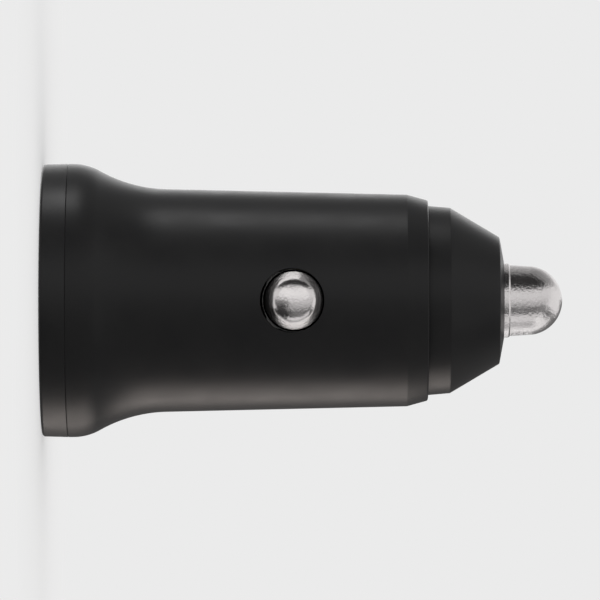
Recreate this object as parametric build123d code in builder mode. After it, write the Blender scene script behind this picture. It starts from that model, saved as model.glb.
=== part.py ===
from build123d import *
import os
from math import acos, cos, degrees, radians, sin, sqrt, tan

os.makedirs("parts", exist_ok=True)

# Outer form, turned about the plug axis. Height zero is the flat port face, the pin points up.
head_radius = 12.7
face_height = 2.4
face_draft = 0.06
face_bevel = 0.3
seam_bevel = 0.1
head_land = 0.48
shoulder_radius = 4.94
neck_radius = 13.2
barrel_radius = 10.356
barrel_taper = 1.32
housing_length = 33.4
bevel_length = 1.95
bevel_inset = 0.54
wall = 1.3

# Port face and its press-in skirt
plate_thickness = 1.8
seat_wall = 1.4
seat_depth = 2.0
seat_ledge = 0.4
skirt_thickness = 1.2
fit_clearance = 0.08
port_clearance = 0.12
port_lead_in = 0.25
mouth_setback = 0.45

# Nose cap
nose_step = 0.5
band_length = 2.05
band_draft = 0.18
cone_length = 4.6
cone_drop = 2.73
end_rise = 0.43
spigot_length = 2.8
spigot_wall = 1.3
tail_ledge = 0.2
nose_lip = 1.9
tail_edge = 0.15

# Sprung centre pin
pin_radius = 3.45
pin_step = 0.14
pin_collar = 0.4
pin_dome_radius = 3.2
pin_reach = 5.42
pin_clearance = 0.1
pin_crown = 3.7
pin_bore_radius = 2.6
flange_extra = 0.95
flange_thickness = 0.9
chamber_clearance = 0.25
wire_diameter = 0.6
wire_sides = 6
spring_turns = 5
spring_clearance = 0.2

# Sprung ground contacts, one on each side of the barrel
contact_setback = 12.6
contact_shift = 0.15
window_clearance = 0.25
dome_radius = 2.7
dome_reach = 1.45
dome_draft = 32.0
dome_shoulder = 1.25
crown_radius = 4.4
crown_rim = 1.9
leaf_thickness = 0.4
leaf_width = 4.8
leaf_pad = 0.2
leaf_root_setback = 3.4
leaf_tail = 3.7
leaf_curl = 0.5
leaf_clearance = 0.25
tongue_width = 2.4
tongue_depth = 1.3
flex_angle = 8.0

# Circuit board standing on edge along the plug axis
board_thickness = 1.0
board_top = -0.9
board_front_gap = 0.6
board_tail_setback = 1.3
board_clearance = 0.3
rib_width = 0.8
rib_grip = 0.7
rib_length = 5.0
rib_clearance = 0.1

# Larger port, on the upper side of the board
port_a_width = 13.1
port_a_height = 5.7
port_a_length = 12.5
port_a_corner = 0.5
sheet = 0.3
tongue_a_thickness = 1.84
tongue_a_width = 11.1
tongue_a_gap = 0.45
tongue_setback = 1.0
block_a_length = 3.2
pin_a_width = 1.0
pin_a_sheet = 0.25
pin_a_inner = 1.0
pin_a_outer = 3.5

# Smaller port, on the lower side of the board
port_c_width = 8.94
port_c_height = 3.16
port_c_length = 7.4
port_c_standoff = 0.8
tongue_c_width = 6.69
tongue_c_thickness = 0.7
block_c_length = 2.4
block_c_overhang = 0.9
pin_c_pitch = 0.5
pin_c_width = 0.26
pin_c_sheet = 0.08
pin_c_count = 12
leg_width = 1.1

# Parts soldered to the board
part_gap = 0.6
coil_flange_radius = 3.3
coil_post_radius = 1.5
coil_flange_thickness = 0.9
coil_height = 4.5
coil_gap = 0.1
can_radius = 3.15
can_height = 8.0
can_bevel = 0.4
can_groove = 0.25
chip_length = 4.9
chip_width = 3.9
chip_height = 1.45
chip_lead_pitch = 1.27
chip_lead_width = 0.42
chip_lead_reach = 1.0
chip_lead_sheet = 0.2
protocol_side = 3.0
protocol_height = 0.8
diode_length = 4.3
diode_width = 3.6
diode_height = 2.2
diode_lead_reach = 0.6
diode_lead_width = 2.0
ceramic_length = 3.2
ceramic_width = 1.6
ceramic_height = 1.2
resistor_length = 2.0
resistor_width = 1.25
resistor_height = 0.5
fuse_length = 3.2
fuse_width = 1.6
fuse_height = 0.9

# Pin terminal, soldered over the tail of the board
terminal_radius = 4.2
terminal_sheet = 0.5
terminal_tab_width = 3.0
terminal_tab_length = 3.2
terminal_boss_height = 0.8

# Stations along the axis, all from the sizes above
seam_z = face_height
shoulder_z = seam_z + head_land
tail_z = seam_z + housing_length
bevel_z = tail_z - bevel_length
spigot_z = tail_z - spigot_length
band_z = tail_z + band_length
cone_z = band_z + cone_length
nose_z = cone_z + end_rise
stop_z = nose_z - nose_lip
tip_z = nose_z + pin_reach
mouth_z = mouth_setback
contact_z = tail_z - contact_setback
root_z = tail_z - leaf_root_setback
free_z = contact_z - leaf_tail
board_z = plate_thickness + board_front_gap
board_tail_z = tail_z - board_tail_setback

# Flare from head to barrel: two arcs tangent to each other, the head and the tapered barrel
taper = radians(barrel_taper)
drop = head_radius - barrel_radius
flare_angle = degrees(
    acos((shoulder_radius + neck_radius * cos(taper) - drop) / (shoulder_radius + neck_radius))
)
neck_z = (
    shoulder_z
    + (shoulder_radius + neck_radius) * sin(radians(flare_angle))
    - neck_radius * sin(taper)
)


def barrel_at(height):
    return barrel_radius - (height - neck_z) * tan(taper)


# Fits between neighbours
tail_radius = barrel_at(bevel_z) - bevel_inset
bore_radius = barrel_at(spigot_z) - wall
seat_radius = head_radius - seat_wall
seat_z = seam_z + seat_depth
skirt_radius = seat_radius - fit_clearance
skirt_length = seat_depth - fit_clearance
tail_bore_radius = bore_radius - tail_ledge
spigot_radius = tail_bore_radius - fit_clearance
cavity_radius = spigot_radius - spigot_wall
band_radius = tail_radius - nose_step
flange_radius = pin_radius + flange_extra
chamber_radius = flange_radius + chamber_clearance
window_radius = dome_radius + window_clearance
dome_z = contact_z + contact_shift
leaf_outer = sqrt((bore_radius - leaf_clearance) ** 2 - (leaf_width / 2) ** 2)
leaf_inner = leaf_outer - leaf_thickness
dome_top = barrel_at(contact_z) + dome_reach
crown_y = dome_top - crown_radius + sqrt(crown_radius**2 - crown_rim**2)
rim_y = crown_y - (dome_radius - crown_rim) / tan(radians(dome_draft))
board_back = board_top - board_thickness
board_mid = board_top - board_thickness / 2
rib_z = neck_z
board_half = sqrt(bore_radius**2 - board_back**2) - board_clearance
swing = (root_z - free_z) * sin(radians(flex_angle))
waist_half = leaf_inner - leaf_curl - swing - board_clearance
ear_half = leaf_inner - board_clearance
tail_half = sqrt(cavity_radius**2 - board_back**2) - board_clearance
waist_z = free_z - part_gap
ear_z = root_z - leaf_thickness - 2 * part_gap
ear_end_z = spigot_z - board_clearance
notch_half = leaf_thickness / 2 + leaf_clearance + tongue_depth * sin(radians(flex_angle))
notch_z = root_z - leaf_thickness / 2
spring_z = board_tail_z + terminal_sheet
spring_top_z = tip_z - pin_crown
spring_radius = pin_bore_radius - spring_clearance - wire_diameter / 2

# Ports and board parts, one after the other along the board
port_a_x = board_top + port_a_height / 2
port_a_end_z = mouth_z + port_a_length
tongue_a_top = board_top + port_a_height - sheet - tongue_a_gap
tongue_a_low = tongue_a_top - tongue_a_thickness
block_a_z = port_a_end_z - block_a_length
port_c_x = board_back - port_c_standoff - port_c_height / 2
port_c_end_z = mouth_z + port_c_length
block_c_z = port_c_end_z - block_c_length
leg_a_z = port_a_end_z + part_gap / 2
coil_z = port_c_end_z + block_c_overhang + part_gap + coil_flange_radius
chip_z = coil_z + coil_flange_radius + part_gap + chip_length / 2
protocol_z = chip_z + chip_length / 2 + part_gap + protocol_side / 2
diode_z = protocol_z + protocol_side / 2 + part_gap + diode_lead_reach + diode_length / 2
output_can_z = leg_a_z + pin_a_sheet + part_gap + can_radius
input_can_z = output_can_z + 2 * can_radius + part_gap
fuse_z = input_can_z + can_radius + part_gap + fuse_width / 2
chip_half = chip_width / 2 + chip_lead_reach
ceramic_y = chip_half + part_gap / 2 + ceramic_width / 2
resistor_y = (protocol_side / 2 + ceramic_y - ceramic_width / 2) / 2

with BuildPart() as housing:
    with BuildSketch(Plane.XZ):
        with BuildLine():
            land = Line((head_radius, seam_z), (head_radius, shoulder_z))
            shoulder = JernArc(land @ 1, (0, 1), shoulder_radius, flare_angle)
            JernArc(shoulder @ 1, shoulder % 1, neck_radius, barrel_taper - flare_angle)
            Polyline(
                (barrel_radius, neck_z),
                (barrel_at(bevel_z), bevel_z),
                (tail_radius, tail_z),
                (0, tail_z),
                (0, seam_z),
                (head_radius, seam_z),
            )
        make_face()
    revolve(axis=Axis.Z)
    rims = housing.edges().filter_by(GeomType.CIRCLE).sort_by(Axis.Z)
    chamfer(rims[-1], tail_edge)
    chamfer(rims[0], seam_bevel)
    # stepped bore: seat for the port face, funnel under the flare, straight run, seat for the nose
    with BuildSketch(Plane.XZ):
        Polygon(
            (0, seam_z),
            (seat_radius, seam_z),
            (seat_radius, seat_z),
            (seat_radius - seat_ledge, seat_z),
            (bore_radius, neck_z),
            (bore_radius, spigot_z),
            (tail_bore_radius, spigot_z),
            (tail_bore_radius, tail_z),
            (0, tail_z),
            align=None,
        )
    revolve(axis=Axis.Z, mode=Mode.SUBTRACT)
    # guide ribs that hold the edges of the board
    rib_far = sqrt((bore_radius + wall / 2) ** 2 - (board_back - rib_clearance - rib_width) ** 2)
    rib_near = board_half - rib_grip
    rib_offset = board_thickness / 2 + rib_clearance + rib_width / 2
    with BuildSketch(Plane.XY.offset(rib_z)):
        for side in (-1, 1):
            with Locations((board_mid, side * (rib_near + rib_far) / 2)):
                with GridLocations(2 * rib_offset, 0, 2, 1):
                    Rectangle(rib_width, rib_far - rib_near)
    extrude(amount=rib_length)
    # round windows for the ground contacts
    with BuildSketch(Plane.XZ):
        with Locations((0, contact_z)):
            Circle(window_radius)
    extrude(amount=head_radius, both=True, mode=Mode.SUBTRACT)
housing.part.label = "housing"
export_step(housing.part, "parts/housing.step")

with BuildPart() as port_face:
    with BuildSketch(Plane.XZ):
        Polygon(
            (0, 0),
            (head_radius - face_draft, 0),
            (head_radius, seam_z),
            (skirt_radius, seam_z),
            (skirt_radius, seam_z + skirt_length),
            (skirt_radius - skirt_thickness, seam_z + skirt_length),
            (skirt_radius - skirt_thickness, plate_thickness),
            (0, plate_thickness),
            align=None,
        )
    revolve(axis=Axis.Z)
    rims = port_face.edges().filter_by(GeomType.CIRCLE).filter_by(
        lambda rim: rim.radius > head_radius - 2 * face_draft
    )
    chamfer(rims.sort_by(Axis.Z)[0], face_bevel)
    chamfer(rims.sort_by(Axis.Z)[-1], seam_bevel)
    with BuildSketch(Plane.XY):
        with Locations((port_a_x, 0)):
            RectangleRounded(
                port_a_height + 2 * port_clearance,
                port_a_width + 2 * port_clearance,
                port_a_corner + port_clearance,
            )
        with Locations((port_c_x, 0)):
            SlotOverall(
                port_c_width + 2 * port_clearance,
                port_c_height + 2 * port_clearance,
                rotation=90,
            )
    extrude(amount=plate_thickness, mode=Mode.SUBTRACT)
    front = port_face.faces().sort_by(Axis.Z)[0]
    chamfer(front.inner_wires().edges(), port_lead_in)
port_face.part.label = "port_face"
export_step(port_face.part, "parts/port_face.step")

with BuildPart() as nose_cap:
    with BuildSketch(Plane.XZ):
        Polygon(
            (cavity_radius, spigot_z),
            (spigot_radius, spigot_z),
            (spigot_radius, tail_z),
            (band_radius, tail_z),
            (band_radius - band_draft, band_z),
            (band_radius - band_draft - cone_drop, cone_z),
            (pin_radius + pin_clearance, nose_z),
            (pin_radius + pin_clearance, stop_z),
            (chamber_radius, stop_z),
            (chamber_radius, tail_z + terminal_sheet),
            (cavity_radius, tail_z + terminal_sheet),
            align=None,
        )
    revolve(axis=Axis.Z)
nose_cap.part.label = "nose_cap"
export_step(nose_cap.part, "parts/nose_cap.step")

with BuildPart() as centre_pin:
    dome_start_z = tip_z - pin_dome_radius
    with BuildSketch(Plane.XZ):
        with BuildLine():
            shaft = Polyline(
                (pin_bore_radius, stop_z - flange_thickness),
                (flange_radius, stop_z - flange_thickness),
                (flange_radius, stop_z),
                (pin_radius, stop_z),
                (pin_radius, nose_z + pin_collar),
                (pin_radius - pin_step, nose_z + pin_collar + pin_step),
                (pin_dome_radius, dome_start_z),
            )
            tip = RadiusArc(shaft @ 1, (0, tip_z), -pin_dome_radius)
            Polyline(
                tip @ 1,
                (0, spring_top_z),
                (pin_bore_radius, spring_top_z),
                shaft @ 0,
            )
        make_face()
    revolve(axis=Axis.Z)
    back_rim = centre_pin.edges().filter_by(GeomType.CIRCLE).filter_by(
        lambda rim: rim.radius > flange_radius - pin_step
    )
    chamfer(back_rim.sort_by(Axis.Z)[0], seam_bevel)
centre_pin.part.label = "centre_pin"
export_step(centre_pin.part, "parts/centre_pin.step")

with BuildPart() as pin_spring:
    spring_pitch = (spring_top_z - spring_z) / spring_turns
    with BuildLine() as coil_path:
        Helix(
            spring_pitch,
            spring_top_z - spring_z,
            spring_radius,
            center=(0, 0, spring_z),
        )
    with BuildSketch(Plane(coil_path.line @ 0, z_dir=coil_path.line % 0)):
        RegularPolygon(wire_diameter / 2, wire_sides)
    sweep()
    split(bisect_by=Plane.XY.offset(spring_z), keep=Keep.TOP)
    split(bisect_by=Plane.XY.offset(spring_top_z), keep=Keep.BOTTOM)
pin_spring.part.label = "pin_spring"
export_step(pin_spring.part, "parts/pin_spring.step")

with BuildPart() as pin_terminal:
    with BuildSketch(Plane.XY.offset(board_tail_z)):
        Circle(terminal_radius)
    extrude(amount=terminal_sheet)
    with BuildSketch(Plane.XY.offset(spring_z)):
        Circle(spring_radius - wire_diameter / 2 - spring_clearance)
    extrude(amount=terminal_boss_height)
    chamfer(pin_terminal.faces().sort_by(Axis.Z)[-1].edges(), terminal_boss_height / 3)
    with BuildSketch(Plane.YZ.offset(board_top)):
        with Locations((0, board_tail_z - terminal_tab_length)):
            Rectangle(
                terminal_tab_width,
                terminal_tab_length + terminal_sheet,
                align=(Align.CENTER, Align.MIN),
            )
    extrude(amount=terminal_sheet)
pin_terminal.part.label = "pin_terminal"
export_step(pin_terminal.part, "parts/pin_terminal.step")

with BuildPart() as far_contact:
    # springy strip with a curled free end
    with BuildSketch(Plane.YZ):
        with BuildLine() as strip_path:
            FilletPolyline(
                (leaf_outer - leaf_thickness / 2, root_z),
                (leaf_outer - leaf_thickness / 2, free_z + 2 * leaf_curl),
                (leaf_outer - leaf_thickness / 2 - leaf_curl, free_z),
                radius=leaf_thickness,
            )
        trace(line_width=leaf_thickness)
    extrude(amount=leaf_width / 2, both=True)
    # round pad and drawn dome
    with BuildSketch(Plane.XZ.offset(-leaf_outer)):
        with Locations((0, dome_z)):
            Circle(dome_radius + leaf_pad)
    extrude(amount=leaf_thickness)
    dome_axis = Axis((0, 0, dome_z), (0, 1, 0))
    with BuildSketch(Plane.XY.offset(dome_z)):
        with BuildLine():
            side_line = Polyline(
                (0, leaf_inner), (dome_radius, leaf_inner), (dome_radius, rim_y), (crown_rim, crown_y)
            )
            crown = RadiusArc(side_line @ 1, (0, dome_top), -crown_radius)
            Line(crown @ 1, side_line @ 0)
        make_face()
    revolve(axis=dome_axis)
    crown_edge = far_contact.edges().filter_by(lambda rim: rim.is_closed).sort_by(Axis.Y)[-1]
    fillet(crown_edge, dome_shoulder)
    with BuildSketch(Plane.XY.offset(dome_z)):
        Polygon(
            (0, leaf_inner),
            (dome_radius - leaf_thickness, leaf_inner),
            (dome_radius - leaf_thickness, rim_y),
            (crown_rim - leaf_thickness, crown_y - leaf_thickness),
            (0, crown_y - leaf_thickness),
            align=None,
        )
    revolve(axis=dome_axis, mode=Mode.SUBTRACT)
    # solder tongue bent into the notch of the board
    with BuildSketch(Plane.XY.offset(root_z - leaf_thickness)):
        with Locations((board_mid, leaf_outer)):
            Rectangle(
                tongue_width,
                leaf_thickness + tongue_depth,
                align=(Align.CENTER, Align.MAX),
            )
    extrude(amount=leaf_thickness)
far_contact.part.label = "ground_contact_far"
export_step(far_contact.part, "parts/ground_contact_far.step")

with BuildPart() as near_contact:
    mirror(far_contact.part, about=Plane.XZ)
near_contact.part.label = "ground_contact_near"
export_step(near_contact.part, "parts/ground_contact_near.step")

with BuildPart() as main_board:
    with BuildSketch(Plane.YZ.offset(board_back)):
        steps = (
            (board_half, board_z, waist_z),
            (waist_half, waist_z, ear_z),
            (ear_half, ear_z, ear_end_z),
            (tail_half, ear_end_z, board_tail_z),
        )
        for half, low, high in steps:
            with Locations((0, (low + high) / 2)):
                Rectangle(2 * half, high - low)
        notch_floor = leaf_inner - tongue_depth - leaf_clearance
        for side in (-1, 1):
            with Locations((side * (notch_floor + ear_half) / 2, notch_z)):
                Rectangle(ear_half - notch_floor, 2 * notch_half, mode=Mode.SUBTRACT)
    extrude(amount=board_thickness)
main_board.part.label = "main_board"
export_step(main_board.part, "parts/main_board.step")

with BuildPart() as port_a_shell:
    with BuildSketch(Plane.XY.offset(mouth_z)):
        with Locations((port_a_x, 0)):
            RectangleRounded(port_a_height, port_a_width, port_a_corner)
            RectangleRounded(
                port_a_height - 2 * sheet,
                port_a_width - 2 * sheet,
                port_a_corner - sheet / 2,
                mode=Mode.SUBTRACT,
            )
    extrude(amount=port_a_length)
port_a_shell.part.label = "usb_a_shell"
export_step(port_a_shell.part, "parts/usb_a_shell.step")

with BuildPart() as port_a_tongue:
    with BuildSketch(Plane.XY.offset(block_a_z)):
        with Locations((port_a_x, 0)):
            RectangleRounded(
                port_a_height - 2 * sheet - fit_clearance,
                port_a_width - 2 * sheet - fit_clearance,
                port_a_corner - sheet / 2,
            )
    extrude(amount=block_a_length)
    with BuildSketch(Plane.XY.offset(mouth_z + tongue_setback)):
        with Locations(((tongue_a_low + tongue_a_top) / 2, 0)):
            Rectangle(tongue_a_thickness, tongue_a_width)
    extrude(amount=block_a_z - mouth_z - tongue_setback)
    front_face = port_a_tongue.faces().sort_by(Axis.Z)[0]
    chamfer(front_face.edges(), sheet)
    with BuildSketch(Plane.XY.offset(block_a_z)):
        for row in (-pin_a_outer, -pin_a_inner, pin_a_inner, pin_a_outer):
            with Locations((tongue_a_low - pin_a_sheet / 2, row)):
                Rectangle(pin_a_sheet + fit_clearance, pin_a_width + fit_clearance)
    extrude(amount=block_a_length, mode=Mode.SUBTRACT)
port_a_tongue.part.label = "usb_a_tongue"
export_step(port_a_tongue.part, "parts/usb_a_tongue.step")

with BuildPart() as port_a_contacts:
    strip_z = mouth_z + 2 * tongue_setback
    with BuildSketch(Plane.XZ):
        Polygon(
            (tongue_a_low, strip_z),
            (tongue_a_low, leg_a_z + pin_a_sheet),
            (board_top, leg_a_z + pin_a_sheet),
            (board_top, leg_a_z),
            (tongue_a_low - pin_a_sheet, leg_a_z),
            (tongue_a_low - pin_a_sheet, strip_z),
            align=None,
        )
    strip = extrude(amount=pin_a_width / 2, both=True, mode=Mode.PRIVATE)
    for row in (-pin_a_outer, -pin_a_inner, pin_a_inner, pin_a_outer):
        add(strip.moved(Location((0, row, 0))))
port_a_contacts.part.label = "usb_a_contacts"
export_step(port_a_contacts.part, "parts/usb_a_contacts.step")

with BuildPart() as port_c_shell:
    with BuildSketch(Plane.XY.offset(mouth_z)):
        with Locations((port_c_x, 0)):
            SlotOverall(port_c_width, port_c_height, rotation=90)
            SlotOverall(
                port_c_width - 2 * sheet,
                port_c_height - 2 * sheet,
                rotation=90,
                mode=Mode.SUBTRACT,
            )
    extrude(amount=port_c_length)
    # solder legs down to the board
    leg_y = port_c_width / 2 - sheet / 2
    with BuildSketch(Plane.YZ.offset(port_c_x)):
        for row_z in (board_z + leg_width, port_c_end_z - leg_width):
            with Locations((0, row_z)):
                with GridLocations(2 * leg_y, 0, 2, 1):
                    Rectangle(sheet, leg_width)
    extrude(amount=board_back - port_c_x)
port_c_shell.part.label = "usb_c_shell"
export_step(port_c_shell.part, "parts/usb_c_shell.step")

with BuildPart() as port_c_tongue:
    with BuildSketch(Plane.XY.offset(block_c_z)):
        with Locations((port_c_x, 0)):
            SlotOverall(
                port_c_width - 2 * sheet - fit_clearance,
                port_c_height - 2 * sheet - fit_clearance,
                rotation=90,
            )
    extrude(amount=block_c_length)
    with BuildSketch(Plane.XY.offset(mouth_z + tongue_setback / 2)):
        with Locations((port_c_x, 0)):
            Rectangle(tongue_c_thickness, tongue_c_width)
    extrude(amount=block_c_z - mouth_z - tongue_setback / 2)
    # rear foot that stands on the board
    with BuildSketch(Plane.XY.offset(port_c_end_z)):
        with Locations((board_back, 0)):
            Rectangle(
                port_c_standoff + port_c_height,
                tongue_c_width,
                align=(Align.MAX, Align.CENTER),
            )
    extrude(amount=block_c_overhang)
port_c_tongue.part.label = "usb_c_tongue"
export_step(port_c_tongue.part, "parts/usb_c_tongue.step")

with BuildPart() as port_c_contacts:
    row_height = tongue_c_thickness + pin_c_sheet
    with BuildSketch(Plane.XY.offset(mouth_z + tongue_setback)):
        with Locations((port_c_x, 0)):
            with GridLocations(row_height, pin_c_pitch, 2, pin_c_count):
                Rectangle(pin_c_sheet, pin_c_width)
    extrude(amount=block_c_z - mouth_z - tongue_setback)
port_c_contacts.part.label = "usb_c_contacts"
export_step(port_c_contacts.part, "parts/usb_c_contacts.step")

with BuildPart() as inductor_core:
    with BuildSketch(Plane.YZ.offset(board_back)):
        with Locations((0, coil_z)):
            Circle(coil_flange_radius)
    extrude(amount=-coil_flange_thickness)
    with BuildSketch(Plane.YZ.offset(board_back)):
        with Locations((0, coil_z)):
            Circle(coil_post_radius)
    extrude(amount=-coil_height)
    with BuildSketch(Plane.YZ.offset(board_back - coil_height)):
        with Locations((0, coil_z)):
            Circle(coil_flange_radius)
    extrude(amount=coil_flange_thickness)
inductor_core.part.label = "inductor_core"
export_step(inductor_core.part, "parts/inductor_core.step")

with BuildPart() as inductor_coil:
    with BuildSketch(Plane.YZ.offset(board_back - coil_flange_thickness - coil_gap)):
        with Locations((0, coil_z)):
            Circle(coil_flange_radius - 2 * coil_gap)
            Circle(coil_post_radius + coil_gap, mode=Mode.SUBTRACT)
    extrude(amount=2 * (coil_flange_thickness + coil_gap) - coil_height)
inductor_coil.part.label = "inductor_coil"
export_step(inductor_coil.part, "parts/inductor_coil.step")

with BuildPart() as output_capacitor:
    with BuildSketch(Plane.YZ.offset(board_top)):
        with Locations((0, output_can_z)):
            Circle(can_radius)
    extrude(amount=can_height)
    chamfer(output_capacitor.faces().sort_by(Axis.X)[-1].edges(), can_bevel)
    with BuildSketch(Plane.YZ.offset(board_top + can_radius / 2)):
        with Locations((0, output_can_z)):
            Circle(can_radius)
            Circle(can_radius - can_groove, mode=Mode.SUBTRACT)
    extrude(amount=2 * can_groove, mode=Mode.SUBTRACT)
output_capacitor.part.label = "output_capacitor"
export_step(output_capacitor.part, "parts/output_capacitor.step")

with BuildPart() as input_capacitor:
    with Locations((0, 0, input_can_z - output_can_z)):
        add(output_capacitor.part)
input_capacitor.part.label = "input_capacitor"
export_step(input_capacitor.part, "parts/input_capacitor.step")

with BuildPart() as controller_chip:
    with BuildSketch(Plane.YZ.offset(board_back - chip_lead_sheet)):
        with Locations((0, chip_z)):
            Rectangle(chip_width, chip_length)
    extrude(amount=chip_lead_sheet - chip_height)
    lid = controller_chip.faces().sort_by(Axis.X)[0]
    chamfer(lid.edges(), chip_lead_sheet)
    # gull-wing leads, four along each long side
    with BuildSketch(Plane.YZ.offset(board_back)):
        with Locations((0, chip_z)):
            with GridLocations(chip_width + chip_lead_reach, chip_lead_pitch, 2, 4):
                Rectangle(chip_lead_reach, chip_lead_width)
    extrude(amount=-chip_lead_sheet)
    with BuildSketch(Plane.YZ.offset(board_back)):
        with Locations((0, chip_z)):
            with GridLocations(chip_width + chip_lead_sheet, chip_lead_pitch, 2, 4):
                Rectangle(chip_lead_sheet, chip_lead_width)
    extrude(amount=-chip_height / 2)
controller_chip.part.label = "controller_chip"
export_step(controller_chip.part, "parts/controller_chip.step")

with BuildPart() as protocol_chip:
    with BuildSketch(Plane.YZ.offset(board_back)):
        with Locations((0, protocol_z)):
            Rectangle(protocol_side, protocol_side)
    extrude(amount=-protocol_height)
    chamfer(protocol_chip.faces().sort_by(Axis.X)[0].edges(), chip_lead_sheet / 2)
protocol_chip.part.label = "protocol_chip"
export_step(protocol_chip.part, "parts/protocol_chip.step")

with BuildPart() as rectifier_diode:
    with BuildSketch(Plane.YZ.offset(board_back - chip_lead_sheet)):
        with Locations((0, diode_z)):
            Rectangle(diode_width, diode_length)
    extrude(amount=chip_lead_sheet - diode_height)
    chamfer(rectifier_diode.faces().sort_by(Axis.X)[0].edges(), chip_lead_sheet)
    with BuildSketch(Plane.YZ.offset(board_back)):
        with Locations((0, diode_z)):
            Rectangle(diode_lead_width, diode_length + 2 * diode_lead_reach)
    extrude(amount=-chip_lead_sheet)
rectifier_diode.part.label = "rectifier_diode"
export_step(rectifier_diode.part, "parts/rectifier_diode.step")

with BuildPart() as ceramic_capacitors:
    with BuildSketch(Plane.YZ.offset(board_back)):
        for row_z in (chip_z, protocol_z):
            with Locations((0, row_z)):
                with GridLocations(2 * ceramic_y, 0, 2, 1):
                    Rectangle(ceramic_width, ceramic_length)
    extrude(amount=-ceramic_height)
ceramic_capacitors.part.label = "ceramic_capacitors"
export_step(ceramic_capacitors.part, "parts/ceramic_capacitors.step")

with BuildPart() as chip_resistors:
    with BuildSketch(Plane.YZ.offset(board_back)):
        with Locations((0, protocol_z)):
            with GridLocations(2 * resistor_y, 0, 2, 1):
                Rectangle(resistor_width, resistor_length)
    extrude(amount=-resistor_height)
chip_resistors.part.label = "chip_resistors"
export_step(chip_resistors.part, "parts/chip_resistors.step")

with BuildPart() as input_fuse:
    with BuildSketch(Plane.YZ.offset(board_top)):
        with Locations((0, fuse_z)):
            Rectangle(fuse_length, fuse_width)
    extrude(amount=fuse_height)
input_fuse.part.label = "input_fuse"
export_step(input_fuse.part, "parts/input_fuse.step")
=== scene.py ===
import math

import bpy
import bmesh
from mathutils import Matrix, Vector
from mathutils.geometry import tessellate_polygon


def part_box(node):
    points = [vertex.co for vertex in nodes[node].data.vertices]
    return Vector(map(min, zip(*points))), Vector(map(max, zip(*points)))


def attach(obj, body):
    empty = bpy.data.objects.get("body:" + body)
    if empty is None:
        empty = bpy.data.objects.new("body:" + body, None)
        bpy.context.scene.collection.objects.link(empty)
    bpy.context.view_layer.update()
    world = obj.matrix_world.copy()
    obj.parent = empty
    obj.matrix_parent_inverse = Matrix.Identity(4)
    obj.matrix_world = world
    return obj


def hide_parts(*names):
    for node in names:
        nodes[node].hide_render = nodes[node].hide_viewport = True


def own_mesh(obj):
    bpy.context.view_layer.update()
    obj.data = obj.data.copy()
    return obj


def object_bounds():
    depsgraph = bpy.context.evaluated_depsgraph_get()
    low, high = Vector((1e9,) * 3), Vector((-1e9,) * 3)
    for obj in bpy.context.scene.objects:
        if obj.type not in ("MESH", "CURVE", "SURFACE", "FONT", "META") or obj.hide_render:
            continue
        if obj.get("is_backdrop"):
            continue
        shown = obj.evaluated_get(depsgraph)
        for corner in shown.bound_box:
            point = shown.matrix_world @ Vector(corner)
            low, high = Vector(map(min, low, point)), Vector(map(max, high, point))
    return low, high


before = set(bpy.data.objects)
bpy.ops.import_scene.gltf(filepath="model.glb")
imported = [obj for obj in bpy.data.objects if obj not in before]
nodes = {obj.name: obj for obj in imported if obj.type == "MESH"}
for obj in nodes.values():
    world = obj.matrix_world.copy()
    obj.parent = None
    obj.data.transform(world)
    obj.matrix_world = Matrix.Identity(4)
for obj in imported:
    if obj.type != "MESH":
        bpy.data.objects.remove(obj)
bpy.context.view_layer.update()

mm = 0.001  # every plan below is in millimetres
scene = bpy.context.scene
print("frame loaded:", len(nodes), "nodes")


def addObject(name, data):
    item = bpy.data.objects.new(name, data)
    scene.collection.objects.link(item)
    return item


# node tree helpers

def put(tree, kind, inputs=None, **settings):
    node = tree.nodes.new(kind)
    for key, value in settings.items():
        setattr(node, key, value)
    for key, value in (inputs or {}).items():
        if isinstance(value, bpy.types.NodeSocket):
            tree.links.new(value, node.inputs[key])
        else:
            node.inputs[key].default_value = value
    return node


def sums(tree, operation, first, second=0.0):
    return put(tree, "ShaderNodeMath", {0: first, 1: second}, operation=operation).outputs[0]


def vectors(tree, operation, first, second=(0.0, 0.0, 0.0)):
    node = put(tree, "ShaderNodeVectorMath", {0: first, 1: second}, operation=operation)
    return node.outputs["Value" if operation in ("LENGTH", "DISTANCE") else "Vector"]


def blend(tree, share, first, second):
    # from the first colour to the second; a colour is a socket or (red, green, blue)
    pair = [end if isinstance(end, bpy.types.NodeSocket) else (*end, 1.0) for end in (first, second)]
    return put(tree, "ShaderNodeMix", {0: share, 6: pair[0], 7: pair[1]}, data_type="RGBA").outputs[2]


def remap(tree, value, fromLow, fromHigh, low, high):
    inputs = {"Value": value, "From Min": fromLow, "From Max": fromHigh, "To Min": low, "To Max": high}
    return put(tree, "ShaderNodeMapRange", inputs).outputs["Result"]


def noise(tree, place, scale, detail, roughness):
    return put(tree, "ShaderNodeTexNoise", {
        "Vector": place, "Scale": scale, "Detail": detail, "Roughness": roughness}).outputs["Fac"]


def newGroup(name, kind, ins, outs):
    group = bpy.data.node_groups.new(name, kind)
    for label, socket in ins:
        group.interface.new_socket(label, in_out="INPUT", socket_type="NodeSocket" + socket)
    for label, socket in outs:
        group.interface.new_socket(label, in_out="OUTPUT", socket_type="NodeSocket" + socket)
    return group, put(group, "NodeGroupInput").outputs


# effects that several finishes share

pitShare = 0.5  # depth of the pits beside that of the fine grain
lineShare = 0.4  # depth of the tool lines beside that of the dents
noiseSpan = (0.3, 0.7)  # most of a noise lies in this span


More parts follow.
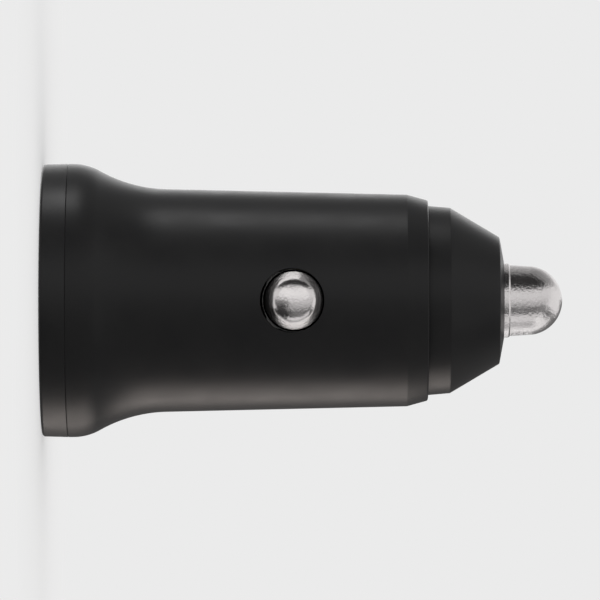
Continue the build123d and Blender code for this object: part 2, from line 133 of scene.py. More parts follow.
def buildMouldGrain():
    # fine eroded grain of a moulded face, and broad soft patches in its sheen
    group, ins = newGroup(
        "mouldGrain", "ShaderNodeTree",
        [("Vector", "Vector"), ("Grain Scale", "Float"), ("Patch Scale", "Float")],
        [("Height", "Float"), ("Patches", "Float")],
    )
    pits = put(group, "ShaderNodeTexVoronoi", {"Vector": ins["Vector"], "Scale": ins["Grain Scale"]})
    pitted = sums(group, "MULTIPLY", pits.outputs["Distance"], pitShare)
    height = sums(group, "ADD", pitted, noise(group, ins["Vector"], ins["Grain Scale"], 3.0, 0.6))
    patches = noise(group, ins["Vector"], ins["Patch Scale"], 4.0, 0.55)
    put(group, "NodeGroupOutput", {"Height": height, "Patches": patches})
    return group


def buildToolMarks():
    # lines left by turning or drawing, as squeezed noise, small dents, and stains in the plating
    group, ins = newGroup(
        "toolMarks", "ShaderNodeTree",
        [("Vector", "Vector"), ("Stretch", "Vector"), ("Dent Scale", "Float"), ("Stain Scale", "Float")],
        [("Height", "Float"), ("Lines", "Float"), ("Stains", "Float")],
    )
    squeezed = vectors(group, "MULTIPLY", ins["Vector"], ins["Stretch"])
    lines = noise(group, squeezed, 1.0, 4.0, 0.65)
    stains = noise(group, ins["Vector"], ins["Stain Scale"], 3.0, 0.6)
    dents = noise(group, ins["Vector"], ins["Dent Scale"], 2.0, 0.5)
    height = sums(group, "ADD", sums(group, "MULTIPLY", lines, lineShare), dents)
    put(group, "NodeGroupOutput", {"Height": height, "Lines": lines, "Stains": stains})
    return group


mouldGrain = buildMouldGrain()
toolMarks = buildToolMarks()


def startFinish(name, group, settings):
    material = bpy.data.materials.new(name)
    material.use_nodes = True
    tree = material.node_tree
    place = put(tree, "ShaderNodeTexCoord").outputs["Object"]
    effect = put(tree, "ShaderNodeGroup", {"Vector": place, **settings}, node_tree=group)
    return material, tree, tree.nodes["Principled BSDF"], effect.outputs


def fillFinish(tree, shader, finish, spread, sheen, height):
    colour = blend(tree, spread, finish["dark"], finish["light"])
    roughness = remap(tree, sheen, *noiseSpan, *finish["roughness"])
    bump = put(tree, "ShaderNodeBump", {
        "Strength": finish["bump"], "Distance": finish["depth"], "Height": height}).outputs["Normal"]
    for label, socket in (("Base Color", colour), ("Roughness", roughness), ("Normal", bump)):
        tree.links.new(socket, shader.inputs[label])


def mouldedPlastic(name, finish):
    settings = {"Grain Scale": finish["grain"], "Patch Scale": finish["patches"]}
    material, tree, shader, effect = startFinish(name, mouldGrain, settings)
    fillFinish(tree, shader, finish, effect["Patches"], effect["Patches"], effect["Height"])
    shader.inputs["Specular IOR Level"].default_value = finish["specular"]
    return material


def platedMetal(name, finish):
    settings = {
        "Stretch": finish["stretch"], "Dent Scale": finish["dents"], "Stain Scale": finish["stains"]}
    material, tree, shader, effect = startFinish(name, toolMarks, settings)
    fillFinish(tree, shader, finish, effect["Stains"], effect["Lines"], effect["Height"])
    shader.inputs["Metallic"].default_value = 1.0
    return material


def tinted(base, dark, light, roughness, **others):
    return {**base, "dark": dark, "light": light, "roughness": roughness, **others}


plasticFinish = {
    "grain": 9000.0, "patches": 260.0, "dark": (0.0125, 0.0125, 0.0132), "light": (0.0165, 0.0162, 0.0162),
    "roughness": (0.34, 0.42), "specular": 0.16, "bump": 0.12, "depth": 0.00002,
}
satinBlack = mouldedPlastic("satinBlack", plasticFinish)
faceBlack = mouldedPlastic("faceBlack", {**plasticFinish, "specular": 0.21})
portBlack = mouldedPlastic("portBlack", tinted(
    plasticFinish, (0.024, 0.024, 0.025), (0.034, 0.034, 0.034), (0.42, 0.5), specular=0.4, grain=12000.0))
epoxyFinish = {**plasticFinish, "roughness": (0.5, 0.62), "grain": 14000.0}
chipEpoxy = mouldedPlastic("chipEpoxy", epoxyFinish)
ferriteGrey = mouldedPlastic("ferriteGrey", tinted(
    plasticFinish, (0.03, 0.03, 0.033), (0.05, 0.05, 0.052), (0.5, 0.65)))
boardGreen = mouldedPlastic("boardGreen", tinted(
    plasticFinish, (0.006, 0.06, 0.022), (0.01, 0.085, 0.03), (0.25, 0.4)))
ceramicFinish = tinted(plasticFinish, (0.28, 0.19, 0.1), (0.4, 0.28, 0.16), (0.4, 0.55))
fuseFinish = tinted(plasticFinish, (0.6, 0.58, 0.53), (0.72, 0.7, 0.66), (0.45, 0.6))
sleeveFinish = tinted(plasticFinish, (0.012, 0.014, 0.03), (0.018, 0.021, 0.042), (0.3, 0.42))

nickelFinish = {
    "stretch": (40.0, 40.0, 9000.0), "dents": 4200.0, "stains": 500.0, "dark": (0.60, 0.576, 0.573),
    "light": (0.70, 0.672, 0.669), "roughness": (0.15, 0.26), "bump": 0.2, "depth": 0.00004,
}
turnedNickel = platedMetal("turnedNickel", {**nickelFinish, "bump": 0.8})
drawnNickel = platedMetal("drawnNickel", {**nickelFinish, "stretch": (900.0, 900.0, 900.0), "bump": 0.5})
# painted shade round the dome's foot, down in the window: depth is the distance from the plug's middle plane,
# reach the distance from the dome's axis
recessShade = {"depth": (8.1, 8.8), "reach": (3.4, 4.2), "level": 23.35, "dark": (0.06, 0.059, 0.058)}


def layColour(material, mask, colour):
    # a second colour over a finish, where the mask is 1
    tree = material.node_tree
    socket = tree.nodes["Principled BSDF"].inputs["Base Color"]
    tree.links.new(blend(tree, mask, socket.links[0].from_socket, colour), socket)


def layMetal(material, mask, colour):
    layColour(material, mask, colour)
    material.node_tree.links.new(mask, material.node_tree.nodes["Principled BSDF"].inputs["Metallic"])


def paintRecessShade(material, plan):
    # painted shade: the plating is darkened round the dome's foot, down in the window, where shade falls, and
    # stays bright on the dome
    tree = material.node_tree
    place = tree.nodes["Texture Coordinate"].outputs["Object"]
    depth = sums(tree, "ABSOLUTE", put(tree, "ShaderNodeSeparateXYZ", {0: place}).outputs["Y"])
    flat = vectors(tree, "MULTIPLY", place, (1.0, 0.0, 1.0))
    reach = vectors(tree, "DISTANCE", flat, (0.0, 0.0, plan["level"] * mm))
    low = remap(tree, depth, plan["depth"][0] * mm, plan["depth"][1] * mm, 1.0, 0.0)
    near = remap(tree, reach, plan["reach"][0] * mm, plan["reach"][1] * mm, 1.0, 0.0)
    layColour(material, sums(tree, "MULTIPLY", low, near), plan["dark"])


# painted shade laid on the contacts' nickel round each dome's foot
paintRecessShade(drawnNickel, recessShade)
# stretch of the tool marks, dark and light colour, and roughness
metalPlan = {
    "shellSteel": ((900.0, 900.0, 6000.0), (0.52, 0.52, 0.53), (0.62, 0.62, 0.63), (0.3, 0.42)),
    "springSteel": ((2000.0, 2000.0, 2000.0), (0.42, 0.42, 0.43), (0.52, 0.52, 0.54), (0.25, 0.38)),
    "goldFlash": ((3000.0, 3000.0, 300.0), (0.72, 0.5, 0.16), (0.83, 0.6, 0.22), (0.18, 0.3)),
    "stampedBrass": ((300.0, 3000.0, 3000.0), (0.62, 0.45, 0.18), (0.74, 0.56, 0.25), (0.22, 0.36)),
    "coilCopper": ((7000.0, 60.0, 60.0), (0.42, 0.16, 0.06), (0.58, 0.26, 0.11), (0.25, 0.4)),
}
metals = {}
for name, (stretch, *row) in metalPlan.items():
    metals[name] = platedMetal(name, tinted(nickelFinish, *row, stretch=stretch))
print("finishes made:", len(bpy.data.materials))


# outlines of turned pieces, as lists of (radius, height)

def arcPoints(centre, radius, start, end, steps):
    points = []
    for step in range(steps + 1):
        angle = math.radians(start + (end - start) * step / steps)
        points.append((centre[0] + radius * math.cos(angle), centre[1] + radius * math.sin(angle)))
    return points


def quarterTurn(steps):
    # shares of a rounding's radius that are still to go, across and along, over a quarter turn
    turns = [math.pi / 2 * step / steps for step in range(steps + 1)]
    return [(1 - math.sin(turn), 1 - math.cos(turn)) for turn in turns]


def roundCorner(before, corner, after, radius, steps=6):
    here = Vector(corner)
    back = (Vector(before) - here).normalized()
    ahead = (Vector(after) - here).normalized()
    half = back.angle(ahead) / 2
    reach = radius / math.tan(half)
    middle = here + (back + ahead).normalized() * (radius / math.sin(half))
    start = here + back * reach - middle
    end = here + ahead * reach - middle
    sweep = math.atan2(start.x * end.y - start.y * end.x, start.dot(end))
    return [tuple(middle + Matrix.Rotation(sweep * step / steps, 2) @ start) for step in range(steps + 1)]


def softOutline(corners):
    # a corner is (radius, height) or (radius, height, rounding)
    points = []
    for i, corner in enumerate(corners):
        if len(corner) == 3:
            points += roundCorner(corners[i - 1][:2], corner[:2], corners[i + 1][:2], corner[2])
        else:
            points.append(corner)
    return points


def divideRuns(points, longest):
    # cuts long straight runs into shorter ones
    divided = [points[0]]
    for start, end in zip(points, points[1:]):
        count = max(1, math.ceil(math.dist(start, end) / longest))
        for step in range(1, count + 1):
            share = step / count
            divided.append(tuple(a + (b - a) * share for a, b in zip(start, end)))
    return divided


def buildTurning():
    # turns the outline's points about the Z axis into a skin of four-sided faces
    tree, ins = newGroup(
        "turnOutline", "GeometryNodeTree",
        [("Outline", "Geometry"), ("Segments", "Int"), ("Weld", "Float"), ("Finish", "Material")],
        [("Turned", "Geometry")],
    )
    outlineSize = put(tree, "GeometryNodeAttributeDomainSize", {"Geometry": ins["Outline"]})
    count = outlineSize.outputs["Point Count"]
    around = sums(tree, "ADD", ins["Segments"], 1.0)
    grid = put(tree, "GeometryNodeMeshGrid", {"Vertices X": around, "Vertices Y": count})
    index = put(tree, "GeometryNodeInputIndex").outputs[0]
    along = sums(tree, "MODULO", index, count)
    column = sums(tree, "FLOOR", sums(tree, "DIVIDE", index, count))
    angle = sums(tree, "DIVIDE", sums(tree, "MULTIPLY", column, math.tau), ins["Segments"])
    point = put(tree, "GeometryNodeSampleIndex", {
        "Geometry": ins["Outline"], "Index": along}, data_type="FLOAT_VECTOR", domain="POINT")
    tree.links.new(put(tree, "GeometryNodeInputPosition").outputs[0], point.inputs["Value"])
    turned = put(tree, "ShaderNodeVectorRotate", {
        "Vector": point.outputs["Value"], "Angle": angle}, rotation_type="Z_AXIS")
    skin = put(tree, "GeometryNodeSetPosition", {
        "Geometry": grid.outputs["Mesh"], "Position": turned.outputs[0]})
    welded = put(tree, "GeometryNodeMergeByDistance", {
        "Geometry": skin.outputs[0], "Distance": ins["Weld"]})
    endTree(tree, "Turned", welded.outputs[0], ins["Finish"])
    return tree


def endTree(tree, label, geometry, finish):
    whole = put(tree, "GeometryNodeRealizeInstances", {"Geometry": geometry})
    finished = put(tree, "GeometryNodeSetMaterial", {"Geometry": whole.outputs[0], "Material": finish})
    put(tree, "NodeGroupOutput", {label: finished.outputs[0]})


def bakeTree(name, seed, tree, settings):
    # runs a tree on a seed mesh and keeps the result as a plain mesh
    carrier = addObject(name + ".seed", seed)
    modifier = carrier.modifiers.new("tree", "NODES")
    modifier.node_group = tree
    for socket in tree.interface.items_tree:
        if socket.in_out == "INPUT" and socket.name in settings:
            modifier[socket.identifier] = settings[socket.name]
    mesh = bpy.data.meshes.new_from_object(carrier.evaluated_get(bpy.context.evaluated_depsgraph_get()))
    carrier.modifiers.clear()
    bpy.data.objects.remove(carrier)
    mesh.name = name
    return mesh


turnOutline = buildTurning()
weldReach = 5e-7  # metres, closes the seam and the poles


def turnMesh(name, outline, finish, segments):
    seed = bpy.data.meshes.new(name + ".outline")
    seed.from_pydata([(r * mm, 0, z * mm) for r, z in outline], [], [])
    return bakeTree(name, seed, turnOutline, {"Segments": segments, "Weld": weldReach, "Finish": finish})


# mesh helpers

def startMesh(mesh=None):
    work = bmesh.new()
    if mesh:
        work.from_mesh(mesh)
        bmesh.ops.recalc_face_normals(work, faces=work.faces)
    return work


def loftRings(work, rings, closed=False):
    # joins rings of equally many points; a ring may be made of points in mm or of verts
    made = [[p if isinstance(p, bmesh.types.BMVert) else work.verts.new(Vector(p) * mm) for p in ring]
            for ring in rings]
    pairs = list(zip(made, made[1:])) + ([(made[-1], made[0])] if closed else [])
    for low, high in pairs:
        for i in range(len(low)):
            j = (i + 1) % len(low)
            work.faces.new((low[i], low[j], high[j], high[i]))
    return made


def addBlock(work, low, high):
    sizes = [b - a for a, b in zip(low, high)]
    centre = [(a + b) / 2 for a, b in zip(low, high)]
    place = Matrix.Translation(Vector(centre) * mm) @ Matrix.Diagonal((*(Vector(sizes) * mm), 1.0))
    bmesh.ops.create_cube(work, size=1.0, matrix=place)


sharpAngle = 30.0


def finishPiece(name, work, finish, replaced, body="plug_body"):
    bmesh.ops.recalc_face_normals(work, faces=work.faces)
    mesh = bpy.data.meshes.new(name)
    work.to_mesh(mesh)
    work.free()
    mesh.materials.clear()
    mesh.materials.append(finish)
    mesh.shade_smooth()
    mesh.set_sharp_from_angle(angle=math.radians(sharpAngle))
    piece = addObject(name, mesh)
    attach(piece, body)
    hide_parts(*replaced)
    return piece


# housing, a turned shell with a round window on each side

housingPlan = {
    "headRadius": 12.7, "seam": 2.4, "headLand": 0.48, "seamBevel": 0.05,
    "shoulderRadius": 4.94, "neckRadius": 13.2, "barrelRadius": 10.356, "taper": 1.32,
    "tail": 35.8, "bevelLength": 1.95, "bevelInset": 0.54, "bevelLead": 2.5, "edgeRound": 0.2,
    "wall": 1.3, "seatRadius": 11.3, "seatDepth": 2.0, "spigotDepth": 2.8, "tailLedge": 0.2,
    "flareRadius": 10.9, "shoulderSteps": 14, "neckSteps": 26, "barrelRows": 50, "segments": 256,
}
# the shares set the rings round the hole, from 1 at the edge of the square to 0 at the hole
windowPlan = {
    "level": 23.2, "radius": 2.95, "round": 0.06, "roundSteps": 8, "margin": 1.5,
    "outerShares": (0.75, 0.5, 0.28, 0.12, 0.04), "innerShares": (0.15, 0.5),
}
ribPlan = {"width": 0.8, "length": 5.0, "inner": 7.35, "bite": 0.325, "gap": 1.2, "boardMiddle": -1.4}


def flareAngle(plan):
    both = plan["shoulderRadius"] + plan["neckRadius"]
    drop = plan["headRadius"] - plan["barrelRadius"]
    level = plan["shoulderRadius"] + plan["neckRadius"] * math.cos(math.radians(plan["taper"])) - drop
    return math.degrees(math.acos(level / both))


def neckHeight(plan):
    both = plan["shoulderRadius"] + plan["neckRadius"]
    rise = both * math.sin(math.radians(flareAngle(plan)))
    return plan["seam"] + plan["headLand"] + rise - plan["neckRadius"] * math.sin(math.radians(plan["taper"]))


def barrelAt(height):
    slope = math.tan(math.radians(housingPlan["taper"]))
    return housingPlan["barrelRadius"] - (height - neckHeight(housingPlan)) * slope


def housingOutline(plan):
    head, seam, seat, tail = (plan[key] for key in ("headRadius", "seam", "seatRadius", "tail"))
    shoulder = seam + plan["headLand"]
    angle = flareAngle(plan)
    neck = neckHeight(plan)
    spigot = tail - plan["spigotDepth"]
    bevel = tail - plan["bevelLength"]
    bore = barrelAt(spigot) - plan["wall"]
    lead = tail - plan["bevelLead"]
    count = plan["barrelRows"]
    rows = [neck + (spigot - neck) * i / count for i in range(count + 1)]
    outer = [(seat, seam), (head - plan["seamBevel"], seam), (head, seam + plan["seamBevel"])]
    centre = (head - plan["shoulderRadius"], shoulder)
    outer += arcPoints(centre, plan["shoulderRadius"], 0, angle, plan["shoulderSteps"])
    out = Vector((math.cos(math.radians(angle)), math.sin(math.radians(angle))))
    centre = Vector(outer[-1]) + out * plan["neckRadius"]
    outer += arcPoints(centre, plan["neckRadius"], 180 + angle, 180 + plan["taper"], plan["neckSteps"])[1:-1]
    outer += [(barrelAt(z), z) for z in rows]
    outer += softOutline([
        (barrelAt(lead), lead),
        (barrelAt(bevel), bevel, plan["edgeRound"]),
        (barrelAt(bevel) - plan["bevelInset"], tail, plan["edgeRound"]),
        (bore - plan["tailLedge"], tail),
        (bore - plan["tailLedge"], spigot),
    ])
    inner = [(bore, z) for z in reversed(rows)]
    seatEnd = seam + plan["seatDepth"]
    inner += [(plan["flareRadius"], seatEnd), (seat, seatEnd), (seat, seam)]
    return outer + inner, bore


def openWindow(work, side, plan, bore):
    # swaps a square of wall for rings that run from the outer skin through the hole to the bore
    level = plan["level"]
    hole = plan["radius"]
    soft = plan["round"]
    reach = (hole + plan["margin"]) * mm
    swing = math.asin(reach / (barrelAt(level) * mm))
    split = (bore + housingPlan["wall"] / 2) * mm

    def radius(vert):
        return math.hypot(vert.co.x, vert.co.y)

    def bearing(vert):
        return math.atan2(vert.co.z / mm - level, vert.co.x / mm) % math.tau

    def inSquare(vert):
        aside = abs(math.atan2(vert.co.x, side * vert.co.y))
        return aside < swing and abs(vert.co.z - level * mm) < reach

    cut = [face for face in work.faces if all(inSquare(vert) for vert in face.verts)]
    bmesh.ops.delete(work, geom=cut, context="FACES")
    rim = sorted((vert for vert in work.verts if vert.is_boundary and inSquare(vert)), key=bearing)
    outerRim = [vert for vert in rim if radius(vert) > split]
    innerRim = [vert for vert in rim if radius(vert) <= split]
    if len(outerRim) != len(innerRim):
        raise ValueError("window rims differ")
    bearings = [bearing(vert) for vert in outerRim]

    def boreSkin(height):
        return bore

    def ring(away, depth, skin):
        points = []
        for angle in bearings:
            x = away * math.cos(angle)
            z = level + away * math.sin(angle)
            points.append((x, side * (math.sqrt(skin(z) ** 2 - x * x) - depth), z))
        return points

    def between(rim, share, start, skin):
        points = []
        for vert, angle in zip(rim, bearings):
            x = start * math.cos(angle) * (1 - share) + vert.co.x / mm * share
            z = (level + start * math.sin(angle)) * (1 - share) + vert.co.z / mm * share
            points.append((x, side * math.sqrt(skin(z) ** 2 - x * x), z))
        return points

    rings = [outerRim]
    rings += [between(outerRim, share, hole + soft, barrelAt) for share in plan["outerShares"]]
    rings += [ring(hole + soft * out, soft * down, barrelAt) for out, down in quarterTurn(plan["roundSteps"])]
    rings.append(ring(hole, 0.0, boreSkin))
    rings += [between(innerRim, share, hole, boreSkin) for share in plan["innerShares"]]
    rings.append(innerRim)
    loftRings(work, rings)


def addRibs(work, side, plan, bore):
    # pair of ribs that hold an edge of the board
    start = neckHeight(housingPlan)
    sides = sorted((side * plan["inner"], side * (bore + plan["bite"])))
    for step in (-1, 1):
        low = plan["boardMiddle"] + step * plan["gap"] / 2
        ends = sorted((low, low + step * plan["width"]))
        addBlock(work, (ends[0], sides[0], start), (ends[1], sides[1], start + plan["length"]))


outline, bore = housingOutline(housingPlan)
shell = startMesh(turnMesh("housing", outline, satinBlack, housingPlan["segments"]))
for side in (-1, 1):
    openWindow(shell, side, windowPlan, bore)
for side in (-1, 1):
    addRibs(shell, side, ribPlan, bore)
finishPiece("housingShell", shell, satinBlack, ["housing"])
print("housing turned")


# nose cap

nosePlan = {
    "spigot": 33.0, "spigotRadius": 8.28, "cavityRadius": 6.98, "tail": 35.8, "bandRadius": 8.80,
    "bandTop": 37.85, "bandDraft": 0.18, "coneTop": 42.45, "coneDrop": 2.73, "endHeight": 42.88,
    "pinHole": 3.55, "holeRound": 0.1, "stop": 40.98, "chamberRadius": 4.65, "chamberFloor": 36.3,
    "edgeRound": 0.22, "longestRun": 0.6, "segments": 256,
}


def noseOutline(plan):
    bandEnd = plan["bandRadius"] - plan["bandDraft"]
    return softOutline([
        (plan["cavityRadius"], plan["spigot"]),
        (plan["spigotRadius"], plan["spigot"], plan["edgeRound"]),
        (plan["spigotRadius"], plan["tail"]),
        (plan["bandRadius"], plan["tail"]),
        (bandEnd, plan["bandTop"], plan["edgeRound"]),
        (bandEnd - plan["coneDrop"], plan["coneTop"], plan["edgeRound"]),
        (plan["pinHole"], plan["endHeight"], plan["holeRound"]),
        (plan["pinHole"], plan["stop"]),
        (plan["chamberRadius"], plan["stop"]),
        (plan["chamberRadius"], plan["chamberFloor"]),
        (plan["cavityRadius"], plan["chamberFloor"]),
        (plan["cavityRadius"], plan["spigot"]),
    ])


noseRuns = divideRuns(noseOutline(nosePlan), nosePlan["longestRun"])
nose = startMesh(turnMesh("noseCap", noseRuns, satinBlack, nosePlan["segments"]))
finishPiece("noseCap", nose, satinBlack, ["nose_cap"])


# sprung centre pin

pinPlan = {
    "flangeBase": 40.08, "flangeTop": 40.98, "flangeRadius": 4.4, "radius": 3.45, "collarTop": 43.28,
    "step": 0.14, "domeRadius": 3.2, "tip": 48.30, "boreRadius": 2.6, "boreTop": 44.6, "edgeRound": 0.1,
    "domeSteps": 32, "longestRun": 0.5, "segments": 192,
}


def pinOutline(plan):
    points = softOutline([
        (plan["boreRadius"], plan["flangeBase"]),
        (plan["flangeRadius"], plan["flangeBase"], plan["edgeRound"]),
        (plan["flangeRadius"], plan["flangeTop"], plan["edgeRound"]),
        (plan["radius"], plan["flangeTop"]),
        (plan["radius"], plan["collarTop"], plan["step"] / 4),
        (plan["radius"] - plan["step"], plan["collarTop"] + plan["step"]),
    ])
    centre = (0, plan["tip"] - plan["domeRadius"])
    points += arcPoints(centre, plan["domeRadius"], 0, 90, plan["domeSteps"])
    bore = plan["boreRadius"]
    return points + [(0, plan["boreTop"]), (bore, plan["boreTop"]), (bore, plan["flangeBase"])]


pinRuns = divideRuns(pinOutline(pinPlan), pinPlan["longestRun"])
pin = startMesh(turnMesh("centrePin", pinRuns, turnedNickel, pinPlan["segments"]))
finishPiece("centrePin", pin, turnedNickel, ["centre_pin"], "pin")
print("nose cap and pin turned")


# ground contacts, a drawn dome on a springy strip at each side

contactPlan = {
    "level": 23.35, "domeRadius": 2.7, "domeTop": 11.536, "draft": 32.0, "shoulder": 1.25,
    "crownRadius": 4.4, "crownRim": 1.9, "rimRound": 0.3, "padRadius": 2.9, "padOuter": 7.96, "sheet": 0.4,
    "footRound": 0.15, "stripWidth": 5.2, "root": 32.4, "free": 19.5, "curl": 0.5, "curlRun": 1.0,
    "bendRun": 0.3, "bendDrop": 0.06, "tongueWidth": 2.4, "tongueDepth": 1.3, "tongueBite": 0.05,
    "tongueMiddle": -1.4, "crownSteps": 40, "shoulderSteps": 14, "longestRun": 0.25, "segments": 128,
    "hollowSegments": 96,
}


def domeOutline(plan):
    # drawn dome: shallow crown, rounded shoulder, drafted side and straight foot
    crown = plan["crownRadius"]
    shoulder = plan["shoulder"]
    middle = Vector((0, plan["domeTop"] - crown))
    level = middle.y + math.sqrt(crown ** 2 - plan["crownRim"] ** 2)
    draft = math.radians(plan["draft"])
    rim = level - (plan["domeRadius"] - plan["crownRim"]) / math.tan(draft)
    # the shoulder's circle touches the crown's circle from inside, and the drafted side
    out = Vector((math.cos(draft), math.sin(draft)))
    down = Vector((out.y, -out.x))
    base = Vector((plan["crownRim"], level)) - out * shoulder
    lead = (base - middle).dot(down)
    drop = -lead - math.sqrt(lead ** 2 - (base - middle).length_squared + (crown - shoulder) ** 2)
    centre = base + down * drop
    top = math.degrees(math.atan2(centre.y - middle.y, centre.x))
    knuckle = arcPoints(centre, shoulder, top, plan["draft"], plan["shoulderSteps"])
    tilt = math.degrees(math.asin(plan["crownRim"] / crown))
    cap = arcPoints(middle, crown, 90, 90 - tilt, plan["crownSteps"])
    cap = [point for point in cap if point[0] < knuckle[0][0] - weldReach / mm]
    return cap + knuckle + softOutline([
        knuckle[-1],
        (plan["domeRadius"], rim, plan["rimRound"]),
        (plan["domeRadius"], plan["padOuter"], plan["footRound"]),
        (plan["padRadius"], plan["padOuter"]),
        (plan["padRadius"], plan["padOuter"] - plan["sheet"]),
        (0, plan["padOuter"] - plan["sheet"]),
    ]), level, rim


def hollowOutline(plan, level, rim):
    sheet = plan["sheet"]
    wide = plan["domeRadius"] - sheet
    top = level - sheet
    foot = plan["padOuter"] - 2 * sheet
    return [(0, top), (plan["crownRim"] - sheet, top), (wide, rim), (wide, foot), (0, foot)]


def stripMesh(plan):
    # strip with a curled free end, and the tongue that is soldered to the board
    work = bmesh.new()
    half = plan["stripWidth"] / 2
    middle = plan["padOuter"] - plan["sheet"] / 2
    bend = plan["free"] + plan["curlRun"]
    line = [
        (middle, plan["root"]), (middle, bend + plan["bendRun"]), (middle - plan["bendDrop"], bend),
        (middle - plan["curl"], plan["free"]),
    ]
    rings = []
    for i, (y, z) in enumerate(line):
        ahead = Vector(line[min(i + 1, len(line) - 1)]) - Vector(line[max(i - 1, 0)])
        across = Vector((-ahead.y, ahead.x)).normalized() * plan["sheet"] / 2
        a, b = Vector((y, z)) + across, Vector((y, z)) - across
        rings.append([(-half, a.x, a.y), (half, a.x, a.y), (half, b.x, b.y), (-half, b.x, b.y)])
    made = loftRings(work, rings)
    work.faces.new(made[0])
    work.faces.new(made[-1])
    tongue = plan["tongueWidth"] / 2
    inner = plan["padOuter"] - plan["sheet"]
    low = (plan["tongueMiddle"] - tongue, inner - plan["tongueDepth"], plan["root"] - plan["sheet"])
    addBlock(work, low, (plan["tongueMiddle"] + tongue, inner + plan["tongueBite"], plan["root"]))
    bmesh.ops.recalc_face_normals(work, faces=work.faces)
    mesh = bpy.data.meshes.new("strip")
    work.to_mesh(mesh)
    work.free()
    return mesh


def combine(base, tool, operation):
    # one mesh joined to or cut by another
    carrier = addObject("carrier", base)
    cutter = addObject("cutter", tool)
    modifier = carrier.modifiers.new("join", "BOOLEAN")
    modifier.operation = operation
    modifier.object = cutter
    modifier.solver = "EXACT"
    modifier.use_self = True
    mesh = bpy.data.meshes.new_from_object(carrier.evaluated_get(bpy.context.evaluated_depsgraph_get()))
    for item in (carrier, cutter):
        bpy.data.objects.remove(item)
    return mesh


def aimAlongY(mesh, level):
    work = startMesh(mesh)
    work.transform(Matrix.Translation((0, 0, level * mm)) @ Matrix.Rotation(math.radians(-90), 4, "X"))
    work.to_mesh(mesh)
    work.free()
    return mesh


def contactMesh(plan):
    skin, level, rim = domeOutline(plan)
    skin = divideRuns(skin, plan["longestRun"])
    dome = aimAlongY(turnMesh("domeSkin", skin, drawnNickel, plan["segments"]), plan["level"])
    hollow = hollowOutline(plan, level, rim)
    hollow = aimAlongY(turnMesh("domeHollow", hollow, drawnNickel, plan["hollowSegments"]), plan["level"])
    return combine(combine(stripMesh(plan), dome, "UNION"), hollow, "DIFFERENCE")


formed = contactMesh(contactPlan)
for name, side, flip in (("groundContactFar", "far", 1), ("groundContactNear", "near", -1)):
    contact = startMesh(formed)
    contact.transform(Matrix.Diagonal((1, flip, 1, 1)))
    finishPiece(name, contact, drawnNickel, ["ground_contact_" + side], side + "_leaf")
print("ground contacts formed")


# port face, a turned plate with an opening for each port

portPlan = {
    "faceRadius": 12.64, "headRadius": 12.7, "seam": 2.4, "faceRound": 0.3, "seamBevel": 0.05,
    "plate": 1.8, "skirtRadius": 11.22, "skirtTop": 4.32, "skirtInner": 10.02, "skirtRound": 0.15,
    "faceMargin": 1.0, "roundMargin": 0.5, "backMargin": 0.3, "leadIn": 0.25, "flat": 0.12,
    "large": {"middle": 1.95, "height": 5.7, "width": 13.1, "corner": 0.5},
    "small": {"middle": -4.28, "height": 3.16, "width": 8.94, "corner": 1.58},
    "gap": 0.12,
}
leastCorner = 0.08
edgeSteps = 6  # to a quarter turn


def portRing(port, offset, level, steps=10):
    # rounded ring round a port opening, offset outwards from the shell's own size
    half = port["height"] / 2 + offset
    across = port["width"] / 2 + offset
    corner = min(max(port["corner"] + offset, leastCorner), half, across)
    ring = []
    for quarter, (sx, sy) in enumerate(((1, 1), (-1, 1), (-1, -1), (1, -1))):
        for step in range(steps + 1):
            angle = math.radians(90 * (quarter + step / steps))
            ring.append((port["middle"] + sx * (half - corner) + corner * math.cos(angle),
                         sy * (across - corner) + corner * math.sin(angle), level))
    return ring


def circleRing(radius, level, count=192):
    return [(radius * math.cos(math.tau * i / count), radius * math.sin(math.tau * i / count), level)
            for i in range(count)]


def fillFlat(work, rings):
    # flat face inside the first ring, with the other rings as openings
    verts = [vert for ring in rings for vert in ring]
    for corners in tessellate_polygon([[vert.co for vert in ring] for ring in rings]):
        work.faces.new([verts[i] for i in corners])


def portFaceMesh(plan):
    work = bmesh.new()
    rim = softOutline([
        (plan["faceRadius"] - plan["faceMargin"], 0.0),
        (plan["faceRadius"] - plan["roundMargin"], 0.0),
        (plan["faceRadius"], 0.0, plan["faceRound"]),
        (plan["headRadius"], plan["seam"] - plan["seamBevel"]),
        (plan["headRadius"] - plan["seamBevel"], plan["seam"]),
        (plan["skirtRadius"], plan["seam"]),
        (plan["skirtRadius"], plan["skirtTop"], plan["skirtRound"]),
        (plan["skirtInner"], plan["skirtTop"]),
        (plan["skirtInner"], plan["plate"]),
        (plan["skirtInner"] - plan["backMargin"], plan["plate"]),
    ])
    body = loftRings(work, [circleRing(r, z) for r, z in rim])
    front, back = [body[0]], [body[-1]]
    gap, lead, flat = plan["gap"], plan["leadIn"], plan["flat"]
    edge = [(gap + lead + flat, 0.0)]
    edge += [(gap + lead * out, lead * down) for out, down in quarterTurn(edgeSteps)]
    edge += [(gap, plan["plate"]), (gap + flat, plan["plate"])]
    for port in (plan["large"], plan["small"]):
        opening = loftRings(work, [portRing(port, offset, level) for offset, level in edge])
        front.append(opening[0])
        back.append(opening[-1])
    fillFlat(work, front)
    fillFlat(work, back)
    return work


finishPiece("portFace", portFaceMesh(portPlan), faceBlack, ["port_face"])
print("port face filled")


# metal shells of the two ports

shellPlan = {
    "mouth": 0.45, "sheet": 0.3, "lip": 0.1, "largeDepth": 12.5, "smallDepth": 7.4, "legWidth": 1.1,
    "frontLeg": 2.95, "backLeg": 6.2, "legEnd": -1.9,
}


